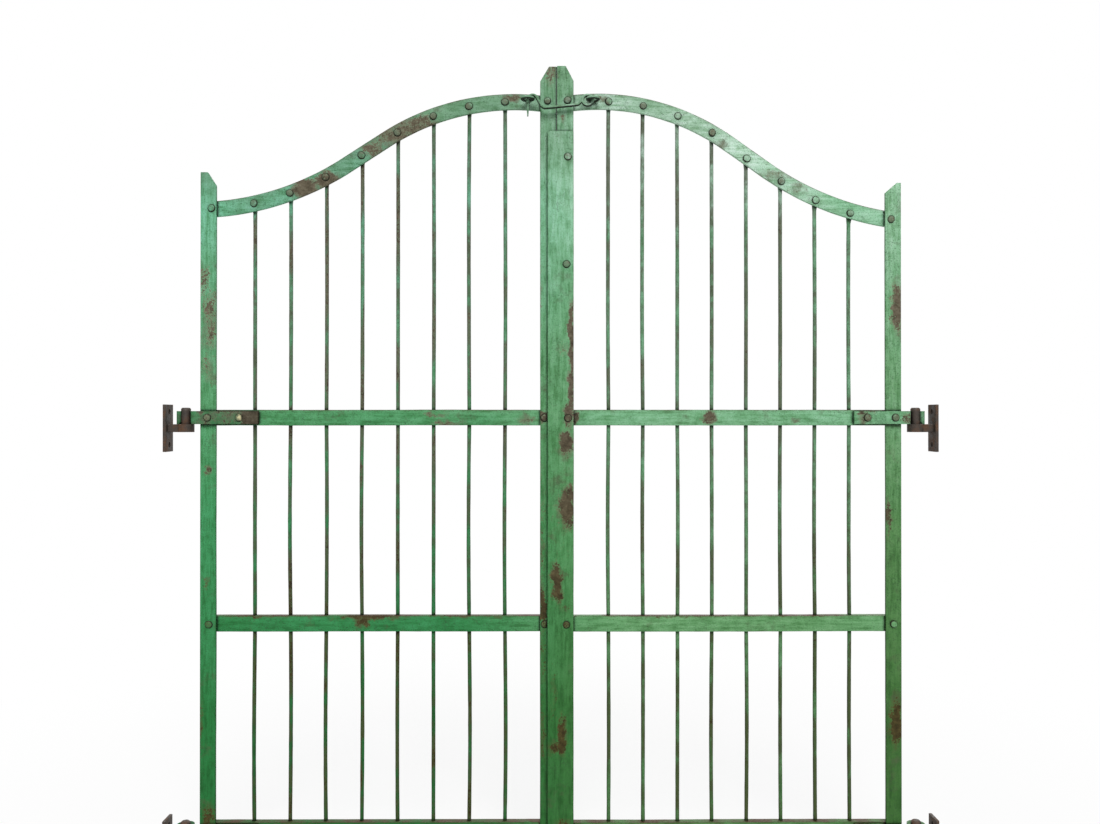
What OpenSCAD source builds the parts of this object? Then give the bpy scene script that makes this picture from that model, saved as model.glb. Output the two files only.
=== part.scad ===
// Pair of wrought iron gate leaves with swan-neck top rails, hung on four wall pintles.
// Lengths are millimetres. X runs along the gate, Y away from the hook side, Z up.
// The origin is the middle of the lower left wall plate, on the face that meets the wall.

/* [Leaves] */
// Width of the left leaf, from the outer edge of its hinge stile to its meeting edge
left_leaf_w = 903; // [700:1:1200]
// Width of the right leaf, measured in the same way
right_leaf_w = 874; // [700:1:1200]
// Gap between the two meeting edges
meeting_gap = 5; // [5:0.5:15]
// Gap in depth between the cover strip and the left leaf that it laps
cover_gap = 5; // [5:0.5:12]

/* [Stiles] */
// Width of the flat bar of every stile
stile_w = 40; // [32:1:60]
// Thickness of that flat bar
stile_t = 8; // [6:0.5:12]
// How far the stiles reach below the middle of the bottom rail
stile_foot = 40; // [32:1:120]
// Height of the hinge stiles' tips above the middle of the top rail behind them
hinge_tip_over = 93; // [60:1:300]
// Height of the meeting stiles' tips above the middle of the top rail at its crown
finial_over = 88; // [60:1:300]
// Width of the slanting cut on the left hinge stile's tip
left_tip_w = 22; // [5:1:30]
// Height of that cut
left_tip_h = 34; // [5:1:60]
// Width of the slanting cut on the right hinge stile's tip
right_tip_w = 30; // [5:1:30]
// Height of that cut
right_tip_h = 26; // [5:1:60]
// Width of the slanting cut on the meeting stiles' tips
finial_tip_w = 20; // [5:1:30]
// Height of that cut
finial_tip_h = 38; // [5:1:60]

/* [Straight rails] */
// Height from one straight rail to the next, middle to middle
bay_h = 525; // [400:1:560]
// Height of the rolled channel that the rails are cut from
rail_h = 40; // [36:1:60]
// Depth of the channel, front face to flange edges
rail_d = 20; // [18:0.5:40]
// Thickness of the channel's web and flanges
rail_wall = 5; // [3:0.25:5]
// Set-back of each rail end from the outer edge of the stile that covers it
rail_inset = 4; // [0:0.5:15]

/* [Swan neck] */
// Height of the flat bar of the top rails
neck_h = 40; // [30:1:60]
// Thickness of that flat bar
neck_t = 8; // [5:0.5:12]
// Height of the crown, middle of the bar, above the middle rail
crown_over = 807; // [600:1:1000]
// Distance of the crown from the meeting edge
crown_inset = 104; // [60:1:160]
// Rise of the left neck from its lowest point to its crown
left_rise = 277; // [150:1:330]
// Rise of the right neck from its lowest point to its crown
right_rise = 310; // [150:1:340]
// Distance of the left neck's lowest point outside the leaf's hinge edge
left_hollow_out = 20; // [0:1:200]
// Distance of the right neck's lowest point outside the leaf's hinge edge
right_hollow_out = 90; // [0:1:200]
// Length of the straight stretch between the two bends
neck_straight = 117; // [20:1:250]
// Share of the left neck's two radii that its crown bend takes
left_crown_share = 0.46; // [0.3:0.01:0.7]
// Share of the right neck's two radii that its crown bend takes
right_crown_share = 0.43; // [0.3:0.01:0.7]

/* [Upright bars] */
// Number of upright bars in a leaf
bar_count = 8; // [4:1:12]
// Diameter of the round bars
bar_d = 10; // [8:0.5:12]
// Distance from the left hinge stile's inner edge to the first bar's middle
left_hinge_bar_gap = 93; // [60:1:140]
// Distance from the right hinge stile's inner edge to the first bar's middle
right_hinge_bar_gap = 87; // [60:1:140]
// Distance from the meeting stile's inner edge to the last bar's middle
meeting_bar_gap = 90; // [75:1:140]
// Width of a bar's end where it is forged flat behind the top rail
tongue_w = 14; // [12:0.5:24]
// Thickness of that flat end
tongue_t = 4.5; // [3:0.25:8]
// Length over which a bar changes from round to flat
flare_l = 30; // [20:1:60]
// Distance of that flat end's tip below the top rail's upper edge
tongue_inset = 6; // [2:0.5:12]
// How far the bars' burred ends stand out below the bottom rail
bar_end = 3; // [1:0.5:10]

/* [Cover strip] */
// Width of the strip that covers the meeting gap
strip_w = 66; // [50:1:90]
// Thickness of the strip
strip_t = 7; // [5:0.5:12]
// How far the strip laps over the left meeting stile
strip_lap = 21; // [10:1:28]
// Distance of the strip's top below the top rail's crown
strip_drop = 80; // [60:1:300]
// Radius of the strip's two upper corners
strip_corner_r = 4; // [1:0.5:10]

/* [Hinge straps] */
// Height of the strap, and so of its rolled eye
strap_h = 33; // [24:1:40]
// Thickness of the strap
strap_t = 10; // [6:0.5:12]
// Length of the left straps, pin to free end
left_strap_l = 185; // [140:1:260]
// Length of the right straps, pin to free end
right_strap_l = 158; // [140:1:260]
// Length over which a strap steps from the stile down to the rail
strap_step = 14; // [10:1:24]
// Distance from the pin to the hinge stile's outer edge
pin_to_stile = 38; // [36:1:60]
// Angle by which the eye's open end is rolled past the outer side
eye_wrap = 45; // [30:1:80]

/* [Wall pintles] */
// Diameter of the upright pin
pin_d = 24; // [18:0.5:26]
// How far the pin stands out above the eye
pin_proud = 9; // [4:1:20]
// Distance from the wall to the pin
pin_stand = 50; // [45:1:80]
// Height of the arm that carries the pin
arm_h = 20; // [14:1:30]
// Width of the arm
arm_w = 24; // [18:1:36]
// Height of the wall plate
plate_h = 120; // [110:1:180]
// Width of the wall plate
plate_w = 50; // [36:1:80]
// Thickness of the wall plate
plate_t = 8; // [6:0.5:12]
// Distance between the plate's two bolt holes
bolt_spacing = 84; // [60:1:90]
// Diameter of the bolt holes
bolt_d = 13; // [8:0.5:16]

/* [Hook and eyes] */
// Mean radius of the two eyes' rings
ring_r = 14; // [14:0.5:20]
// Diameter of the eyes' rod
ring_d = 8; // [6:0.5:9]
// Distance of the left eye from its meeting edge
left_eye_inset = 71; // [65:1:85]
// Distance of the right eye from its meeting edge
right_eye_inset = 89; // [75:1:105]
// Space between the right ring and the face of the top rail behind it
ring_neck = 1.5; // [0.5:0.5:8]
// Diameter of the hook's rod
hook_d = 8; // [6:0.5:9]
// Mean radius of the loop at the hook's fixed end
loop_r = 12.5; // [11:0.5:18]
// Depth of the hook's sag where it crosses the meeting stiles
hook_sag = 24; // [20:1:34]
// Length of the hook's point below the ring
point_l = 45; // [25:1:70]
// Diameter of the point's blunt end
point_end_d = 3; // [2:0.5:6]

/* [Hidden] */
$fn = 64;
green = "#4f9468";
iron = "#4a3a33";
sides = ["left", "right"];
rail_names = ["bottom", "lower", "middle"];
hinge_names = ["lower", "upper"];

// Clearances between pieces that fit in one another
pin_clear = 0.4;
seat_clear = 0.3;
bar_clear = 0.3;
shank_clear = 0.2;
link_clear = 0.8;
rest_clear = 0.5;
cut = 1;

// Straight lengths that each bend of a top rail is drawn with
bend_steps = 32;

// Depths in a leaf, measured from its hinge pin
strap_bend_r = 11;
stile_y = strap_t / 2 - strap_bend_r;
rail_y = stile_y + stile_t;
bar_y = rail_y + max((rail_d + rail_wall) / 2, neck_t + bar_d / 2);

// Height of the top rails' crowns above the bottom rails
crown_h = 2 * bay_h + crown_over;

// Hinges: radius of the eye, seat of the eye on the pintle's boss, height of the leaves
eye_r = pin_d / 2 + pin_clear;
boss_step = 2;
boss_r = eye_r + strap_t - boss_step;
seat_z = -strap_h / 2 - seat_clear;
leaf_z = arm_h / 2 - seat_z;
strap_bend_x = eye_r + strap_t / 2 + strap_bend_r;
pin_tip = 3;

// Line of the two eyes, and the point on the right ring that the hook turns about
right_pin_x = pin_stand + 2 * pin_to_stile + left_leaf_w + meeting_gap + right_leaf_w;
left_ring_x = pin_stand + ring_x("left");
right_ring_x = right_pin_x - ring_x("right");
hook_x = right_ring_x - ring_r;
hook_y = rail_y - cover_gap - ring_neck - ring_r - ring_d / 2;
hook_z = leaf_z + crown_h;
hook_reach = hook_x - left_ring_x;

// Hook: loop a little stouter than the rod and worn round inside, then the corners of the rod.
// The turn rests on the left ring's inner side, so it lies a little lower than the ring.
loop_d = hook_d + 0.6;
loop_wear = 0.5;
loop_bore_r = loop_r - loop_d / 2 + loop_wear;
loop_drop = loop_bore_r - ring_d / 2 - link_clear;
bend_play = 2;
hook_bend_r = ring_r - bend_play;
hook_slope = 30;
rest_r = hook_bend_r - (ring_d + hook_d) / 2 - rest_clear;
turn_z = hook_bend_r / tan(hook_slope / 2) - sqrt(rest_r ^ 2 - (ring_r - hook_bend_r) ^ 2);
hook_start = [-loop_r, -loop_drop];
hook_lead = 11;
sag_start = hook_start - [hook_lead, hook_lead];
sag_end = [-hook_reach + (turn_z + hook_sag) * tan(hook_slope), -hook_sag];
hook_turn = [-hook_reach, turn_z];
hook_tip = [-hook_reach, -point_l];
hook_line = [
    hook_start,
    each rounded(hook_start, sag_start, sag_end, hook_bend_r, 4),
    each rounded(sag_start, sag_end, hook_turn, hook_bend_r, 6),
    each rounded(sag_end, hook_turn, hook_tip, hook_bend_r, 12),
    hook_tip
];
rod_sides = 16;

// Riveted ends of the eyes behind the top rails
shank_head_h = 3;
shank_upset = 6;
shank_head_d = ring_d + shank_upset;

function on_side(side, left, right) = side == "left" ? left : right;
function leaf_w(side) = on_side(side, left_leaf_w, right_leaf_w);
function meeting_edge(side) = pin_to_stile + leaf_w(side);
function ring_x(side) = meeting_edge(side) - on_side(side, left_eye_inset, right_eye_inset);
function hinge_bar_gap(side) = on_side(side, left_hinge_bar_gap, right_hinge_bar_gap);
function bar_pitch(side) =
    (leaf_w(side) - 2 * stile_w - hinge_bar_gap(side) - meeting_bar_gap) / (bar_count - 1);
function bar_x(side, i) = pin_to_stile + stile_w + hinge_bar_gap(side) + (i - 1) * bar_pitch(side);

// The swan neck: a crown bend, a straight stretch and a hollow bend, from the crown outwards
function neck_rise(side) = on_side(side, left_rise, right_rise);
function neck_run(side) =
    leaf_w(side) - crown_inset + on_side(side, left_hollow_out, right_hollow_out);
function neck_angle(side) = 2 * atan(neck_rise(side) / (neck_run(side) + neck_straight));
function neck_radii(side) =
    (neck_run(side) - neck_straight * cos(neck_angle(side))) / sin(neck_angle(side));
function crown_share(side) = on_side(side, left_crown_share, right_crown_share);
function crown_r(side) = crown_share(side) * neck_radii(side);
function hollow_r(side) = (1 - crown_share(side)) * neck_radii(side);
function crown_x(side) = meeting_edge(side) - crown_inset;

// Drop of the neck's middle line below the crown, at a distance u from it towards the hinge
function neck_drop(side, u) =
    let (a = neck_angle(side), r = crown_r(side), q = hollow_r(side), w = neck_run(side) - u)
    u < r * sin(a) ? r - sqrt(r * r - u * u)
    : w < q * sin(a) ? neck_rise(side) - q + sqrt(q * q - w * w)
    : r * (1 - cos(a)) + (u - r * sin(a)) * tan(a);
function neck_z(side, x) = crown_h - neck_drop(side, crown_x(side) - x);

// Edge of the neck's flat bar at a height s above its middle line, from the crown's end outwards
function neck_edge(side, s) =
    let (a = neck_angle(side), r = crown_r(side), q = hollow_r(side))
    let (hollow_x = crown_x(side) - neck_run(side), hollow_z = crown_h - neck_rise(side) + q)
    let (crown_end = asin((crown_inset - rail_inset) / r))
    let (hollow_end = asin((pin_to_stile + rail_inset - hollow_x) / q))
    [
        for (i = [0 : bend_steps])
            let (t = -crown_end + (a + crown_end) * i / bend_steps)
            [crown_x(side), crown_h - r] + (r + s) * [-sin(t), cos(t)],
        for (i = [0 : bend_steps])
            let (t = a + (hollow_end - a) * i / bend_steps)
            [hollow_x, hollow_z] + (q - s) * [sin(t), -cos(t)]
    ];

// Points along the bend of a rod that turns at corner b on its way from a to c
function unit(v) = v / norm(v);
function rounded(a, b, c, r, steps) =
    let (u = unit(b - a), v = unit(c - b), angle = acos(u * v))
    let (from = b - u * r * tan(angle / 2), arm = unit(v - u * (u * v)) * r)
    [for (k = [0 : steps]) from + arm - arm * cos(angle * k / steps) + u * r * sin(angle * k / steps)];

// Hangs a piece of a leaf on the left pins, or turned over on the right pins
module hang(side) {
    if (side == "left")
        translate([pin_stand, 0, leaf_z]) children();
    else
        translate([right_pin_x, -cover_gap, leaf_z]) mirror([1, 0, 0]) children();
}

// Turns an outline drawn in X and Y upright, its thickness running back from y
module upright(y, thickness) {
    translate([0, y + thickness, 0])
        rotate([90, 0, 0])
            linear_extrude(thickness)
                children();
}

// Flat upright bar with a slanting cut on the side of its tip that looks along +X
module tipped_flat(height, cut_w, cut_h) {
    upright(stile_y, stile_t)
        polygon([
            [0, -stile_foot],
            [stile_w, -stile_foot],
            [stile_w, height - cut_h],
            [stile_w - cut_w, height],
            [0, height]
        ]);
}

module hinge_stile(side) {
    height = neck_z(side, pin_to_stile + stile_w / 2) + hinge_tip_over;
    cut_w = on_side(side, left_tip_w, right_tip_w);
    cut_h = on_side(side, left_tip_h, right_tip_h);
    color(green)
        hang(side)
            translate([pin_to_stile, 0, 0])
                tipped_flat(height, cut_w, cut_h);
}

module meeting_stile(side) {
    color(green)
        hang(side)
            translate([meeting_edge(side), 0, 0])
                mirror([1, 0, 0])
                    tipped_flat(crown_h + finial_over, finial_tip_w, finial_tip_h);
}

module top_rail(side) {
    upper = neck_edge(side, neck_h / 2);
    lower = neck_edge(side, -neck_h / 2);
    color(green)
        hang(side)
            difference() {
                upright(rail_y, neck_t)
                    polygon([each upper, for (i = [len(lower) - 1 : -1 : 0]) lower[i]]);
                translate([ring_x(side), rail_y - cut, crown_h])
                    rotate([-90, 0, 0])
                        cylinder(d = ring_d + 2 * shank_clear, h = neck_t + 2 * cut);
            }
}

// Channel with its web to the front, drilled through both flanges for the bars
module straight_rail(side, level) {
    length = leaf_w(side) - 2 * rail_inset;
    color(green)
        hang(side)
            translate([pin_to_stile + rail_inset, rail_y, level * bay_h - rail_h / 2])
                difference() {
                    cube([length, rail_d, rail_h]);
                    translate([-cut, rail_wall, rail_wall])
                        cube([length + 2 * cut, rail_d, rail_h - 2 * rail_wall]);
                    for (i = [1 : bar_count])
                        translate([bar_x(side, i) - pin_to_stile - rail_inset, bar_y - rail_y, -cut])
                            cylinder(d = bar_d + 2 * bar_clear, h = rail_h + 2 * cut);
                }
}

// Round bar, forged flat at its upper end where it is riveted behind the top rail
module bar(side, i) {
    rivet_z = neck_z(side, bar_x(side, i));
    foot_z = -rail_h / 2 - bar_end;
    tongue_z = rivet_z - neck_h / 2;
    flare_z = tongue_z - flare_l;
    round_z = rivet_z + neck_h / 2 - tongue_w / 2 - tongue_inset;
    color(green)
        hang(side)
            translate([bar_x(side, i), 0, 0]) {
                translate([0, bar_y, foot_z])
                    cylinder(d = bar_d, h = flare_z - foot_z);
                hull() {
                    translate([0, bar_y, flare_z - cut])
                        cylinder(d = bar_d, h = cut, $fn = 32);
                    translate([-tongue_w / 2, rail_y + neck_t, tongue_z])
                        cube([tongue_w, tongue_t, cut]);
                }
                upright(rail_y + neck_t, tongue_t) {
                    translate([-tongue_w / 2, tongue_z])
                        square([tongue_w, round_z - tongue_z]);
                    translate([0, round_z])
                        circle(d = tongue_w);
                }
            }
}

// Flat strip on the front of the right meeting stile, its upper corners rounded
module cover_strip() {
    strip_h = crown_h - strip_drop;
    top_z = strip_h - strip_corner_r;
    color(green)
        hang("right")
            translate([meeting_edge("right") + meeting_gap + strip_lap - strip_w, 0, 0])
                upright(stile_y - strip_t, strip_t) {
                    translate([0, -stile_foot])
                        square([strip_w, top_z + stile_foot]);
                    translate([strip_corner_r, -stile_foot])
                        square([strip_w - 2 * strip_corner_r, strip_h + stile_foot]);
                    for (x = [strip_corner_r, strip_w - strip_corner_r])
                        translate([x, top_z])
                            circle(r = strip_corner_r);
                }
}

// Strap seen from above: eye rolled behind the pin, bend, run over the stile, step to the rail
module strap_outline(length) {
    far = 4 * eye_r;
    open = 180 + eye_wrap;
    step_x = pin_to_stile + stile_w + cut;
    difference() {
        circle(r = eye_r + strap_t);
        circle(r = eye_r);
        polygon([[0, 0], far * [cos(open), sin(open)], [0, -far], [far, -far], [far, 0]]);
    }
    translate([strap_bend_x, 0])
        difference() {
            circle(r = strap_bend_r + strap_t / 2);
            circle(r = strap_bend_r - strap_t / 2);
            translate([0, -far])
                square(2 * far);
            translate([-far, 0])
                square(2 * far);
        }
    polygon([
        [strap_bend_x, stile_y],
        [strap_bend_x, stile_y - strap_t],
        [step_x, stile_y - strap_t],
        [step_x + strap_step, rail_y - strap_t],
        [length, rail_y - strap_t],
        [length, rail_y],
        [step_x + strap_step, rail_y],
        [step_x, stile_y]
    ]);
}

module hinge_strap(side, level) {
    color(green)
        hang(side)
            translate([0, 0, 2 * level * bay_h - strap_h / 2])
                linear_extrude(strap_h)
                    strap_outline(on_side(side, left_strap_l, right_strap_l));
}

// Wall plate, arm and upright pin; the eye of a strap sits on the boss around the pin
module pintle(side, level) {
    color(iron)
        hang(side)
            translate([0, 0, 2 * level * bay_h + seat_z]) {
                translate([0, 0, -arm_h])
                    cylinder(r = boss_r, h = arm_h);
                translate([plate_t - pin_stand, -arm_w / 2, -arm_h])
                    cube([pin_stand - plate_t, arm_w, arm_h]);
                translate([0, 0, -arm_h / 2])
                    cylinder(d = pin_d, h = arm_h / 2 + strap_h + pin_proud - pin_tip);
                translate([0, 0, strap_h + pin_proud - pin_tip])
                    cylinder(d1 = pin_d, d2 = pin_d - 2 * pin_tip, h = pin_tip);
                difference() {
                    translate([-pin_stand, -plate_w / 2, -(plate_h + arm_h) / 2])
                        cube([plate_t, plate_w, plate_h]);
                    for (z = [-1, 1] * bolt_spacing / 2)
                        translate([-pin_stand - cut, 0, z - arm_h / 2])
                            rotate([0, 90, 0])
                                cylinder(d = bolt_d, h = plate_t + 2 * cut);
                }
            }
}

// Ring of round rod lying level, its shank through the top rail and riveted behind
module hook_eye(side) {
    x = on_side(side, left_ring_x, right_ring_x);
    back_y = rail_y + neck_t - on_side(side, 0, cover_gap);
    color(green)
        translate([x, 0, hook_z]) {
            translate([0, hook_y, 0])
                rotate_extrude()
                    translate([ring_r, 0])
                        circle(d = ring_d);
            translate([0, hook_y + ring_r, 0])
                rotate([-90, 0, 0])
                    cylinder(d = ring_d, h = back_y - hook_y - ring_r);
            translate([0, back_y, 0])
                rotate([-90, 0, 0])
                    cylinder(d = shank_head_d, h = shank_head_h);
        }
}

// Round rod along a line in the plane of X and Z, tapering over its last stretch
module bent_rod(line, d, end_d) {
    last = len(line) - 1;
    points = [
        for (i = [0 : last])
            let (along = unit(line[min(i + 1, last)] - line[max(i - 1, 0)]))
            let (r = (i == last ? end_d : d) / 2)
            for (k = [0 : rod_sides - 1])
                let (a = 360 * k / rod_sides)
                [line[i].x - r * cos(a) * along.y, r * sin(a), line[i].y + r * cos(a) * along.x]
    ];
    faces = [
        [for (k = [rod_sides - 1 : -1 : 0]) k],
        [for (k = [0 : rod_sides - 1]) last * rod_sides + k],
        for (i = [0 : last - 1], k = [0 : rod_sides - 1])
            let (m = (k + 1) % rod_sides)
            [i * rod_sides + k, i * rod_sides + m, (i + 1) * rod_sides + m, (i + 1) * rod_sides + k]
    ];
    polyhedron(points, faces);
}

// Cabin hook: loop on the right ring, sagging arm, turn over the left ring and tapered point
module gate_hook() {
    color(green)
        translate([hook_x, hook_y, hook_z]) {
            translate([0, 0, -loop_drop])
                rotate([90, 0, 0])
                    difference() {
                        rotate_extrude()
                            translate([loop_r, 0])
                                circle(d = loop_d);
                        cylinder(r = loop_bore_r, h = 2 * loop_d, center = true);
                    }
            bent_rod(hook_line, hook_d, point_end_d);
        }
}

for (side = sides) {
    hinge_stile(side);
    meeting_stile(side);
    top_rail(side);
    for (k = [0 : 2])
        straight_rail(side, k);
    for (i = [1 : bar_count])
        bar(side, i);
    for (k = [0 : 1])
        hinge_strap(side, k);
    for (k = [0 : 1])
        pintle(side, k);
    hook_eye(side);
}
cover_strip();
gate_hook();
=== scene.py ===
"""Looks of a wrought iron double gate: brushed green paint worn to rust on forged flats and bars."""
import math
import random

import bmesh
import bpy
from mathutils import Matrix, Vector, noise


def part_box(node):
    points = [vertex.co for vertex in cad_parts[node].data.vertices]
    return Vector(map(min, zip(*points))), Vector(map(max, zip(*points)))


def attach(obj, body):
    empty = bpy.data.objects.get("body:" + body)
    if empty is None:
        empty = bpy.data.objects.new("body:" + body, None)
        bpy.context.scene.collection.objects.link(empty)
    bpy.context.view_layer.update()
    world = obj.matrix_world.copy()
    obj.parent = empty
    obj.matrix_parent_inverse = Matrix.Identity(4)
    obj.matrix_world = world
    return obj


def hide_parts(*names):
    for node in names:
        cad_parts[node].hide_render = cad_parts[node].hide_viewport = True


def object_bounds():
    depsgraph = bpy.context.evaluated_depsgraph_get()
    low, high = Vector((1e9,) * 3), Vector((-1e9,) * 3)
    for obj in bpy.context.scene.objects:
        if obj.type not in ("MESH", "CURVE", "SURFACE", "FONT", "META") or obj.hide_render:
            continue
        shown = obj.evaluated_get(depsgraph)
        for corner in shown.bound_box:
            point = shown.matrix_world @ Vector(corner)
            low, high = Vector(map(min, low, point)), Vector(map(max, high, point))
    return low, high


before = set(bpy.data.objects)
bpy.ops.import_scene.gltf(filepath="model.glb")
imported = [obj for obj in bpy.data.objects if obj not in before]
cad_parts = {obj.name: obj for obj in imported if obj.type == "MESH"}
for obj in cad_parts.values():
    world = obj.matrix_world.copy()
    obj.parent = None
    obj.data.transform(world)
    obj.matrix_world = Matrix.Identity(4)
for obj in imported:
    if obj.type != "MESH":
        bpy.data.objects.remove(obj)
cad_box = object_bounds()
scene = bpy.context.scene
# Vector noise starts from the clock unless it gets a seed of its own
noise.seed_set(5)
BAR_SEED = 41
RIVET_SEEDS = {"left": (3, 5), "right": (8, 9)}
SIDES = ("left", "right")
BARS = range(1, 9)
STRAIGHT_RAILS = ("bottom", "lower", "middle")
STRAP_LEVELS = ("lower", "upper")

# Sizes in metres: the bars and their flattened ends
BAR_D = 0.010
TONGUE_W = 0.014
TONGUE_T = 0.0045
TONGUE_TIP = 0.0008
FLARE_L = 0.016
TONGUE_OVER_RIVET = 0.014
TONGUE_UNDER_RIVET = 0.010
# How far a bar may bow to the side and to the front, its unevenness, and how finely it is drawn
BAR_BOW = (0.0022, 0.0010)
BAR_UNEVEN = 0.07
BAR_UNEVEN_SCALE = 26.0
BAR_STATION = 0.018
BAR_CORNERS = 16
END_STEPS = 8
# How square a bar's section is: 2 is an ellipse, more is nearer to an oblong
ROUND = 2.0
FLATTENED = 5.0
# Rivets, and how far some are set below the middle of the top rail
RIVET_R = 0.0100
RIVET_H = 0.0048
TAIL_R = 0.0085
TAIL_H = 0.0030
RIVET_DROP = {"right_bar_1": 0.007, "right_bar_2": 0.006, "right_bar_3": 0.004, "right_bar_4": 0.006}
# Thickness of a strap and of a straight rail's front, and the rivet's height over a neck's low end
STRAP_T = 0.010
RAIL_FRONT_T = 0.005
LOW_END_UP = 0.022
# Places of the hinge pins along the gate, and how far the iron around them is true
PIN_X = (0.050, 1.908)
TRUE_TO = 0.035
TRUE_FADE = 0.060
# Paint built up on the meeting edges of the leaves
MEETING_SWELL = {"left": 0.00245, "right": -0.00245}
# Distance within which points are one, and the angles of a flat facet and of a crisp edge
MERGED = 1e-5
FLAT = math.radians(0.6)
CRISP = math.radians(45)
# Radius on the riveted end of a ring
RIM_R = 0.0014
# Forged unevenness: the drift of whole pieces, and where the hammer fell
DRIFT = 0.0008
DRIFT_SCALE = 3.1
DENT_SCALE = 30.0
FORGED_STATION = 0.016


def mid(node):
    """Middle of a node's box."""
    low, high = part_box(node)
    return (low + high) / 2


def bar_rivet_z(node):
    """Height of the rivet through a bar's flattened end."""
    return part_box(node)[1].z - TONGUE_OVER_RIVET - RIVET_DROP.get(node, 0.0)


# Materials

def tint(red, green, blue):
    """A colour as seen on a screen, 0 to 255, as the linear colour that a shader takes."""
    def linear(part):
        part = part / 255
        return part / 12.92 if part <= 0.04045 else ((part + 0.055) / 1.055) ** 2.4
    return (linear(red), linear(green), linear(blue), 1.0)


def add(tree, kind, inputs=None, **options):
    """Adds a node, sets its options, then fills its inputs with values or links."""
    made = tree.nodes.new(kind)
    for key, value in options.items():
        setattr(made, key, value)
    for key, value in (inputs or {}).items():
        if isinstance(value, bpy.types.NodeSocket):
            tree.links.new(value, made.inputs[key])
        else:
            made.inputs[key].default_value = value
    return made


def ramp(tree, factor, stops):
    """A colour ramp through (place, colour) stops."""
    made = add(tree, "ShaderNodeValToRGB", {"Fac": factor})
    bands = made.color_ramp.elements
    while len(bands) < len(stops):
        bands.new(0.5)
    for band, (place, colour) in zip(bands, stops):
        band.position = place
        band.color = colour
    return made.outputs["Color"]


def spread(tree, value, low, high, to_low=0.0, to_high=1.0, smooth=False):
    """Maps low..high of a value to to_low..to_high and stops there."""
    made = add(
        tree, "ShaderNodeMapRange",
        {"Value": value, "From Min": low, "From Max": high, "To Min": to_low, "To Max": to_high},
        interpolation_type="SMOOTHSTEP" if smooth else "LINEAR",
    )
    return made.outputs["Result"]


def sum_of(tree, first, second, how="ADD"):
    """Two values added, or joined in another way."""
    return add(tree, "ShaderNodeMath", {0: first, 1: second}, operation=how).outputs["Value"]


def weighed(tree, *shares):
    """Sum of values, each times its share."""
    total = None
    for value, share in shares:
        part = sum_of(tree, value, share, "MULTIPLY")
        total = part if total is None else sum_of(tree, total, part)
    return total


def blend(tree, factor, under, over, how="MIX"):
    """Lays one colour over another."""
    made = add(tree, "ShaderNodeMix", data_type="RGBA", blend_type=how)
    for place, value in ((0, factor), (6, under), (7, over)):
        if isinstance(value, bpy.types.NodeSocket):
            tree.links.new(value, made.inputs[place])
        else:
            made.inputs[place].default_value = value
    return made.outputs[2]


def speckle(tree, where, scale, detail=3.0, rough=0.55, stretch=(1, 1, 1), shift=(0, 0, 0)):
    """Cloudy noise, drawn out along the grain by stretch."""
    moved = add(tree, "ShaderNodeMapping", {"Vector": where, "Scale": stretch, "Location": shift})
    made = add(
        tree, "ShaderNodeTexNoise",
        {"Vector": moved.outputs["Vector"], "Scale": scale, "Detail": detail, "Roughness": rough},
    )
    return made.outputs["Fac"]


def ragged(tree, where, scale, reach):
    """A place pushed about by noise, so that what is drawn there gets a ragged outline."""
    cloud = add(
        tree, "ShaderNodeTexNoise",
        {"Vector": where, "Scale": scale, "Detail": 7.0, "Roughness": 0.68},
    )
    push = add(
        tree, "ShaderNodeVectorMath",
        {0: cloud.outputs["Color"], 1: (0.5, 0.5, 0.5)}, operation="SUBTRACT",
    )
    push = add(tree, "ShaderNodeVectorMath", {0: push.outputs[0], "Scale": reach}, operation="SCALE")
    moved = add(tree, "ShaderNodeVectorMath", {0: where, 1: push.outputs[0]}, operation="ADD")
    return moved.outputs[0]


def blank_material(name):
    """A material with an empty node tree."""
    made = bpy.data.materials.new(name)
    made.use_nodes = True
    made.node_tree.nodes.clear()
    return made, made.node_tree


# A worn spot is whole to this share of its reach, and gone past that one
SPOT_WHOLE = 0.20
SPOT_GONE = 1.35


def worn_spot_group():
    """Node group for the depth of a worn spot, which fades from its centre, seen from the front."""
    tree = bpy.data.node_groups.new("worn_spot", "ShaderNodeTree")
    for name in ("Place", "Centre", "Reach"):
        tree.interface.new_socket(name, in_out="INPUT", socket_type="NodeSocketVector")
    tree.interface.new_socket("Depth", in_out="INPUT", socket_type="NodeSocketFloat")
    tree.interface.new_socket("Wear", in_out="OUTPUT", socket_type="NodeSocketFloat")
    taken = add(tree, "NodeGroupInput").outputs
    off = add(
        tree, "ShaderNodeVectorMath",
        {0: taken["Place"], 1: taken["Centre"]}, operation="SUBTRACT",
    )
    near = add(
        tree, "ShaderNodeVectorMath",
        {0: off.outputs[0], 1: taken["Reach"]}, operation="DIVIDE",
    )
    far = add(tree, "ShaderNodeVectorMath", {0: near.outputs[0]}, operation="LENGTH").outputs["Value"]
    fade = spread(tree, far, SPOT_GONE, SPOT_WHOLE, smooth=True)
    add(tree, "NodeGroupOutput", {"Wear": sum_of(tree, fade, taken["Depth"], "MULTIPLY")})
    return tree


worn_spot = worn_spot_group()


def deepest(tree, where, spots):
    """How far the deepest of the worn spots reaches at a place."""
    wear = 0.0
    for x, z, half_w, half_h, depth in spots:
        spot = add(tree, "ShaderNodeGroup", node_tree=worn_spot)
        tree.links.new(where, spot.inputs["Place"])
        spot.inputs["Centre"].default_value = (x, 0.0, z)
        spot.inputs["Reach"].default_value = (half_w, 1.0, half_h)
        spot.inputs["Depth"].default_value = depth
        wear = spot.outputs[0] if wear == 0.0 else sum_of(tree, wear, spot.outputs[0], "MAXIMUM")
    return wear


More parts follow.
